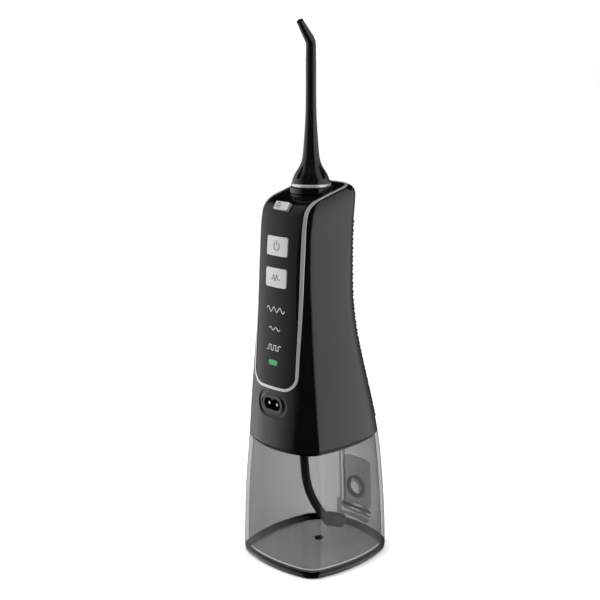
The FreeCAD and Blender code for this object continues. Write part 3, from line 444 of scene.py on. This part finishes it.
PANEL_MARKS = (("steady_mark", 142.8, wave(13.0, 2.6, 3)), ("soft_mark", 132.8, wave(8.0, 1.6, 2)),
               ("pulse_mark", 122.8, square_wave(10.5, 2.6, 3)))
POWER_SIGN = (arc(2.0, 125, 415), [(0.0, 0.4), (0.0, 3.0)])
PULSE_SIGN = ([(-3.2, -0.9), (-2.0, -0.9), (-1.3, 1.7), (-0.2, -1.9), (0.9, 1.7), (1.7, -0.9),
               (3.2, -0.9)],)
EJECT_SIGN = ([(-1.7, -0.3), (0.0, 1.6), (1.7, -0.3), (-1.7, -0.3)], [(-1.7, -1.2), (1.7, -1.2)])


def resample(points):
    """Points along a line of straight pieces, at most one mark step apart."""
    out = [points[0]]
    for a, b in zip(points, points[1:]):
        pieces = max(1, math.ceil(math.dist(a, b) / MARK_STEP))
        out += [tuple(a[k] + (b[k] - a[k]) * i / pieces for k in (0, 1)) for i in range(1, pieces + 1)]
    return out


def ribbon(surface, points, width, vertices, faces):
    """Adds a raised printed line along points (mm from the surface's centre)."""
    line = resample(points)
    base = len(vertices)
    for k, (a, b) in enumerate(line):
        before, after = line[max(k - 1, 0)], line[min(k + 1, len(line) - 1)]
        da, db = after[0] - before[0], after[1] - before[1]
        size = math.hypot(da, db)
        na, nb = -db / size * width / 2, da / size * width / 2
        for side, lift in ((-1, MARK_BOTTOM), (-1, MARK_TOP), (1, MARK_TOP), (1, MARK_BOTTOM)):
            vertices.append(surface.point((a + side * na) * MM, (b + side * nb) * MM, lift * MM))
    last = len(vertices) - 4
    for corner in range(base, last, 4):
        bridge(faces, corner, corner + 4, 4)
    faces.append((base, base + 1, base + 2, base + 3))
    faces.append((last, last + 3, last + 2, last + 1))


def mark(name, body, surface, lines, material, width=MARK_WIDTH):
    vertices, faces = [], []
    for line in lines:
        ribbon(surface, line, width, vertices, faces)
    add_piece(name, body, material, vertices, faces)


def make_marks():
    """Wave signs on the panel, and signs for power, pulse and eject on the three buttons."""
    for name, z, line in PANEL_MARKS:
        mark(name, "handle", front_surface("front_panel", z * MM), [line], "mark_pale")
    for name, body, node, sign in (("power_mark", "power_key", "power_button", POWER_SIGN),
                                   ("mode_mark", "mode_key", "mode_button", PULSE_SIGN)):
        mark(name, body, front_surface(node, middle(node).z), sign, "mark_dark")
    tilt = math.radians(RELEASE_TILT)
    up, inward = Vector((0, math.sin(tilt), math.cos(tilt))), Vector((0, math.cos(tilt), -math.sin(tilt)))
    face = Surface(["release_button"], middle("release_button") + ARROW_SHIFT, up, inward)
    mark("release_mark", "release_key", face, EJECT_SIGN, "mark_dark", ARROW_WIDTH)


# ---------------------------------------------------------------- grip dots

DOT_PITCH, DOT_ROW, DOT_COLUMNS, DOT_ROWS_BELOW = 2.7, 2.35, 9, 4
DOT_START = 0.6
DOT_RADIUS, DOT_HEIGHT, DOT_SIDES = 0.85, 0.55, 12
DOT_REAR_LIMIT = 0.6

# Share of the dot's radius, and of its height.
DOME_RINGS = ((1.08, -0.3), (1.0, 0.0), (0.86, 0.55), (0.5, 0.9))


def add_dome(base, outward, vertices, faces):
    """Adds one low dome with its foot sunk in the surface at base."""
    across = (RIGHT - outward * outward.x).normalized()
    along = outward.cross(across)
    first = len(vertices)
    for radius, height in DOME_RINGS:
        for cosine, sine in circle(DOT_SIDES):
            side = (across * cosine + along * sine) * (radius * DOT_RADIUS * MM)
            vertices.append(base + side + outward * (height * DOT_HEIGHT * MM))
    vertices.append(base + outward * (DOT_HEIGHT * MM))
    peak = len(vertices) - 1
    top_ring = peak - DOT_SIDES
    for ring in range(first, top_ring, DOT_SIDES):
        bridge(faces, ring, ring + DOT_SIDES, DOT_SIDES)
    for k in range(DOT_SIDES):
        faces.append((top_ring + k, top_ring + (k + 1) % DOT_SIDES, peak))
    faces.append(tuple(reversed(range(first, first + DOT_SIDES))))


def make_grip_dots():
    """Rows of low domes over the rear grip and round both rear corners of the housing."""
    low, high = (Vector(corner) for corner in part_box("rear_grip"))
    surface = Surface(["rear_grip", "housing"], Vector((0, high.y, 0)), UP, -BACK)
    vertices, faces = [], []
    rows = int((high.z - low.z) / (DOT_ROW * MM))
    for row in range(-DOT_ROWS_BELOW, rows):
        z = low.z + (row + DOT_START) * DOT_ROW * MM
        for column in range(-DOT_COLUMNS, DOT_COLUMNS + 1):
            x = (column + 0.5 * (row % 2)) * DOT_PITCH * MM
            base, outward = surface.hit(x, z)
            at_pad_edge = low.z - MM < z and abs(abs(x) - high.x) < DOT_RADIUS * MM
            if base is not None and outward.y > DOT_REAR_LIMIT and not at_pad_edge:
                add_dome(base, outward, vertices, faces)
    add_piece("grip_dots", "handle", "black_plastic", vertices, faces)


# ---------------------------------------------------------------- charging recess

# Half width and half height of the recess, of the housing just outside it, and of the dish's foot.
RECESS, BRINK, DISH_FOOT = (10.5, 6.9), (11.6, 8.0), (7.45, 5.25)

# Share of the way from the recess to the dish's foot, and depth below the straight line.
DISH_STEPS = ((0.0, 0.1), (0.12, 0.35), (0.35, 0.5), (0.7, 0.3), (1.0, 0.0), (1.0, 1.2), (0.5, 1.6),
              (0.0, 1.2))
DISH_GAP = 0.1 * MM

# Outline of the socket's hole, and depth and scale of the rings that line it.
HOLE = (5.9, 3.0)
LINING_RINGS = ((0.12, 1.0), (5.8, 1.0), (5.6, 0.96), (0.12, 0.975))


def make_socket_dish():
    """Shallow dish between the edge of the charging recess and the socket in its middle."""
    centre = middle("charging_socket")
    housing = front_surface("housing", centre.z)
    brink = [housing.point(x * MM, z * MM).y for x, z in oval(*BRINK)]
    inner_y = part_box("charging_socket")[0][1] + DISH_GAP
    vertices, faces = [], []
    for share, sink in DISH_STEPS:
        sizes = [outer + (inner - outer) * share for outer, inner in zip(RECESS, DISH_FOOT)]
        for rim_y, (x, z) in zip(brink, oval(*sizes)):
            y = rim_y + (inner_y - rim_y) * share + sink * MM
            vertices.append(Vector((x * MM, y, centre.z + z * MM)))
    count, rings = len(brink), len(DISH_STEPS)
    for ring in range(rings):
        bridge(faces, ring * count, (ring + 1) % rings * count, count)
    add_piece("socket_dish", "handle", "gloss_black", vertices, faces)


def make_socket_lining():
    """Dead-black lining of the charging socket's oval hole."""
    front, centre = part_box("charging_socket")[0][1], middle("charging_socket")
    outline = [(x * MM, z * MM) for x, z in oval(*HOLE)]
    vertices, faces = [], []
    for depth, scale in LINING_RINGS:
        vertices += [Vector((x * scale, front + depth * MM, centre.z + z * scale)) for x, z in outline]
    count = len(outline)
    for first, second in ((0, 1), (2, 3), (3, 0)):
        bridge(faces, first * count, second * count, count)
    for ring in (1, 2):
        faces.append(tuple(range(ring * count, (ring + 1) * count)))
    add_piece("socket_lining", "handle", "socket_black", vertices, faces)


# ---------------------------------------------------------------- painted seam shade and drain plug

SEAM_TURNS = 240
SEAM_FAR, SEAM_RAY_RISE = 0.1, 0.5 * MM

# Outward and upward, in mm, from the housing's bottom edge.
SEAM_SECTION = ((0.05, 0.0), (0.05, 0.3), (-0.3, 0.3), (-0.3, 0.0))

# Radius, and height over the tank's floor, in mm.
DRAIN_RINGS = ((2.3, -0.7), (2.5, -0.1), (2.35, 0.12), (1.6, 0.05))
DRAIN_SIDES = 32


def make_seam_shade_line():
    """Fine dark line round the bottom edge of the housing, painted shade in the seam between the housing
    and the base plate.
    """
    tree, bottom = node_tree("housing"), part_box("housing")[0][2]
    vertices, faces = [], []
    for cosine, sine in circle(SEAM_TURNS):
        outward = Vector((cosine, sine, 0.0))
        start = Vector((0.0, NOZZLE_Y, bottom + SEAM_RAY_RISE)) + outward * SEAM_FAR
        point, _, _, _ = tree.ray_cast(start, -outward)
        for lift, rise in SEAM_SECTION:
            spot = point + outward * lift * MM
            vertices.append(Vector((spot.x, spot.y, bottom + rise * MM)))
    corners = len(SEAM_SECTION)
    for k in range(SEAM_TURNS):
        bridge(faces, corners * k, corners * ((k + 1) % SEAM_TURNS), corners)
    add_piece("seam_shade_line", "handle", "socket_black", vertices, faces)


def make_drain_dimple():
    """Low dark button that stands for the plug in the tank floor."""
    centre = middle("floor_plug")
    vertices, faces = [], []
    for radius, rise in DRAIN_RINGS:
        for cosine, sine in circle(DRAIN_SIDES):
            side = Vector((cosine, sine, 0.0)) * radius * MM
            vertices.append(Vector((centre.x, centre.y, FLOOR_LEVEL + rise * MM)) + side)
    last = len(vertices) - DRAIN_SIDES
    for ring in range(0, last, DRAIN_SIDES):
        bridge(faces, ring, ring + DRAIN_SIDES, DRAIN_SIDES)
    faces += [tuple(range(DRAIN_SIDES)), tuple(range(last, len(vertices)))]
    dimple = add_piece("drain_dimple", "tank", "black_rubber", vertices, faces)
    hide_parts("floor_plug")


# ---------------------------------------------------------------- stage, light and camera

# In degrees, in metres from the nozzle's axis, and in shares of the picture's width.
CAMERA_AZIMUTH, CAMERA_PITCH = 45.0, 12.97
CAMERA_HEIGHT, CAMERA_DISTANCE = 0.2730, 0.5612
FOCAL_SHARE, VIEW_SHIFT = 1.7994, 0.0183
SENSOR, CLIP_START = 36.0, 0.01

FLOOR_HALF = 30.0
SOFT_WHITE = 0.285

# Name, place and size in metres, and power in watts.
LIGHTS = (("key", (-0.5, -0.6, 0.9), 0.8, 6.0), ("fill", (0.9, 0.1, 0.7), 0.8, 3.0))
LIGHT_AIM = Vector((0, 0, 0.1))


def make_camera():
    a, p = math.radians(CAMERA_AZIMUTH), math.radians(CAMERA_PITCH)
    forward = Vector((-math.sin(a) * math.cos(p), math.cos(a) * math.cos(p), -math.sin(p)))
    right = Vector((math.cos(a), math.sin(a), 0.0))
    up = right.cross(forward)
    place = Vector((CAMERA_DISTANCE * math.sin(a), NOZZLE_Y - CAMERA_DISTANCE * math.cos(a),
                    CAMERA_HEIGHT))
    turn = Matrix((right, up, -forward)).transposed()
    camera = bpy.data.objects.new("camera", bpy.data.cameras.new("camera"))
    camera.matrix_world = Matrix.Translation(place) @ turn.to_4x4()
    camera.data.sensor_width = SENSOR
    camera.data.lens = SENSOR * FOCAL_SHARE
    camera.data.shift_x = -VIEW_SHIFT
    camera.data.clip_start = CLIP_START
    bpy.context.scene.collection.objects.link(camera)
    bpy.context.scene.camera = camera


def make_floor():
    mesh = bpy.data.meshes.new("floor")
    corners = [(x * FLOOR_HALF, y * FLOOR_HALF, 0) for x, y in ((-1, -1), (1, -1), (1, 1), (-1, 1))]
    mesh.from_pydata(corners, [], [(0, 1, 2, 3)])
    mesh.materials.append(moulded("floor", *PAPER))
    floor = bpy.data.objects.new("floor", mesh)
    floor.visible_glossy = False
    bpy.context.scene.collection.objects.link(floor)


def make_world():
    """White for the camera and for soft light; mirrors see the softboxes."""
    world = bpy.data.worlds.new("studio")
    world.use_nodes = True
    bpy.context.scene.world = world
    tree = world.node_tree
    tree.nodes.clear()
    direction = add(tree, "ShaderNodeTexCoord").outputs["Generated"]
    is_mirror = add(tree, "ShaderNodeLightPath").outputs["Is Glossy Ray"]
    colour = mix(tree, is_mirror, (*grey(SOFT_WHITE), 1.0), studio(tree, direction))
    light = add(tree, "ShaderNodeBackground", {"Color": colour, "Strength": WORLD_STRENGTH})
    end = add(tree, "ShaderNodeOutputWorld")
    tree.links.new(light.outputs[0], end.inputs["Surface"])


def make_lights():
    """Two soft area lights that mirrors don't see."""
    for name, place, size, power in LIGHTS:
        data = bpy.data.lights.new(name, "AREA")
        data.size, data.energy = size, power
        light = bpy.data.objects.new(name, data)
        light.location = place
        light.rotation_euler = (LIGHT_AIM - Vector(place)).to_track_quat("-Z", "Y").to_euler()
        light.visible_glossy = False
        bpy.context.scene.collection.objects.link(light)


# ---------------------------------------------------------------- build

dress_cad_nodes()
make_marks()
make_grip_dots()
make_socket_dish()
make_socket_lining()
make_drain_dimple()
make_seam_shade_line()
make_camera()
make_floor()
make_world()
make_lights()
bpy.context.scene.view_settings.view_transform = "Standard"
